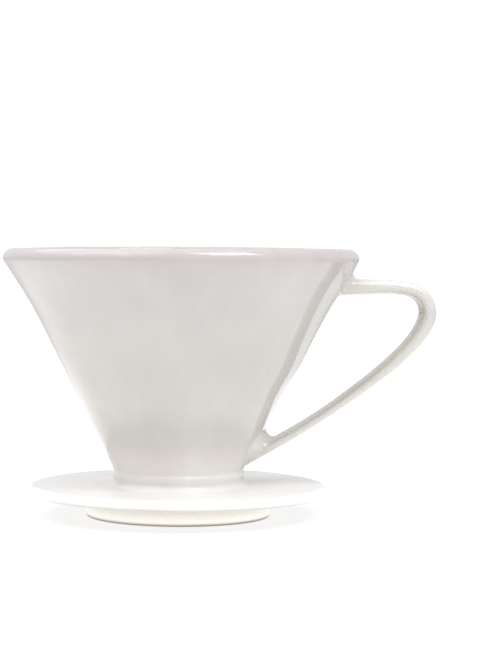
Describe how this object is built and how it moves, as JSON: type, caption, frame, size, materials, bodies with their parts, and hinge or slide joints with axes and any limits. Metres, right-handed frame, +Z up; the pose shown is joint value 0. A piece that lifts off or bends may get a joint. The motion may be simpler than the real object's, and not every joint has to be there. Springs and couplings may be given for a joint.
{
  "type": "pour over dripper",
  "caption": "Glazed ceramic pour over coffee dripper: ribbed 60 degree filter cone with strap handle, on a flat round saucer with a plain foot ring.",
  "frame": {"origin": "centre of the foot ring's resting face, on the axis of the cone", "axes": "+Z up along the axis of the cone, +X towards the handle"},
  "size_m": [0.1418, 0.116, 0.088],
  "materials": {
    "glaze": "gloss",
    "bisque": "matte"
  },
  "bodies": {
    "root": {"cone": "glaze", "handle": "glaze", "handle_upper_luting": "glaze", "handle_lower_luting": "glaze", "neck_luting_ring": "glaze", "saucer": "glaze", "foot_ring": "bisque"}
  },
  "joints": []
}
